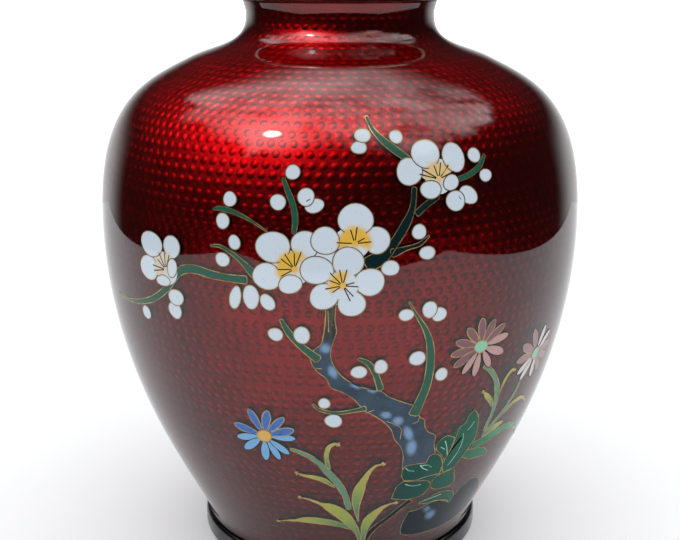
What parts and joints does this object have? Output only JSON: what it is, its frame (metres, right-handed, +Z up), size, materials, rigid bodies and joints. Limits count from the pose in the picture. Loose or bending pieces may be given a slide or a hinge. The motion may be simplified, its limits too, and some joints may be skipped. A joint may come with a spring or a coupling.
{
  "type": "vase",
  "caption": "Round bellied cloisonne vase with a short neck, plated rim and foot, ruby enamel over dimpled foil and inlaid blossom, branch and leaf cells outlined in silver wire",
  "frame": {"origin": "centre of the foot ring's underside, on the table", "axes": "+Z up along the axis of the body; -Y faces the front of the picture with the main blossoms; +X to the right seen from the front"},
  "size_m": [0.127, 0.127, 0.151],
  "materials": {
    "copper": "spun copper, fire darkened, hidden",
    "counter_enamel": "fired turquoise counter enamel",
    "silver_foil": "dimpled silver foil under the enamel",
    "ruby_enamel": "transparent ruby red enamel, polished",
    "plated_rim": "polished nickel silver plating",
    "white_enamel": "opaque bluish white enamel, polished",
    "yellow_enamel": "opaque warm yellow enamel, polished",
    "silver_wire": "flattened silver wire, polished flush",
    "dark_teal_enamel": "dark teal enamel, polished",
    "twig_green_enamel": "blue green enamel, polished",
    "blue_enamel": "shaded blue enamel, polished",
    "mint_enamel": "mint enamel, polished",
    "pink_enamel": "dusty pink enamel, polished",
    "yellow_green_enamel": "yellow green enamel, polished",
    "stem_green_enamel": "pale green enamel, polished",
    "leaf_green_enamel": "deep green enamel, polished",
    "slate_enamel": "slate blue enamel, polished",
    "rock_enamel": "dark slate enamel, polished"
  },
  "bodies": {
    "root": {"copper_body": "copper", "inner_enamel": "counter_enamel", "base_enamel": "counter_enamel", "silver_foil": "silver_foil", "ruby_ground": "ruby_enamel", "foot_ring": "plated_rim", "lip_ring": "plated_rim", "blossom_front_white": "white_enamel", "blossom_front_yellow": "yellow_enamel", "blossom_front_wires": "silver_wire", "blossom_left_white": "white_enamel", "blossom_left_yellow": "yellow_enamel", "blossom_left_wires": "silver_wire", "blossom_top_white": "white_enamel", "blossom_top_yellow": "yellow_enamel", "blossom_top_wires": "silver_wire", "blossom_middle_white": "white_enamel", "blossom_middle_yellow": "yellow_enamel", "blossom_middle_wires": "silver_wire", "blossom_upper_white": "white_enamel", "blossom_upper_yellow": "yellow_enamel", "blossom_upper_wires": "silver_wire", "buds_white": "white_enamel", "buds_wires": "silver_wire", "dark_branch_green": "dark_teal_enamel", "dark_branch_wires": "silver_wire", "twigs_green": "twig_green_enamel", "twigs_wires": "silver_wire", "aster_eye": "yellow_enamel", "aster_rays": "blue_enamel", "aster_wires": "silver_wire", "daisy_high_eye": "mint_enamel", "daisy_high_rays": "pink_enamel", "daisy_high_wires": "silver_wire", "daisy_side_eye": "mint_enamel", "daisy_side_rays": "pink_enamel", "daisy_side_wires": "silver_wire", "blades_yellow_green": "yellow_green_enamel", "blades_wires": "silver_wire", "stems_green": "stem_green_enamel", "stems_wires": "silver_wire", "leaf_veins": "silver_wire", "broad_leaves_green": "leaf_green_enamel", "broad_leaves_wires": "silver_wire", "trunk_slate": "slate_enamel", "trunk_wires": "silver_wire", "rock_slate": "rock_enamel", "rock_wires": "silver_wire"}
  },
  "joints": []
}
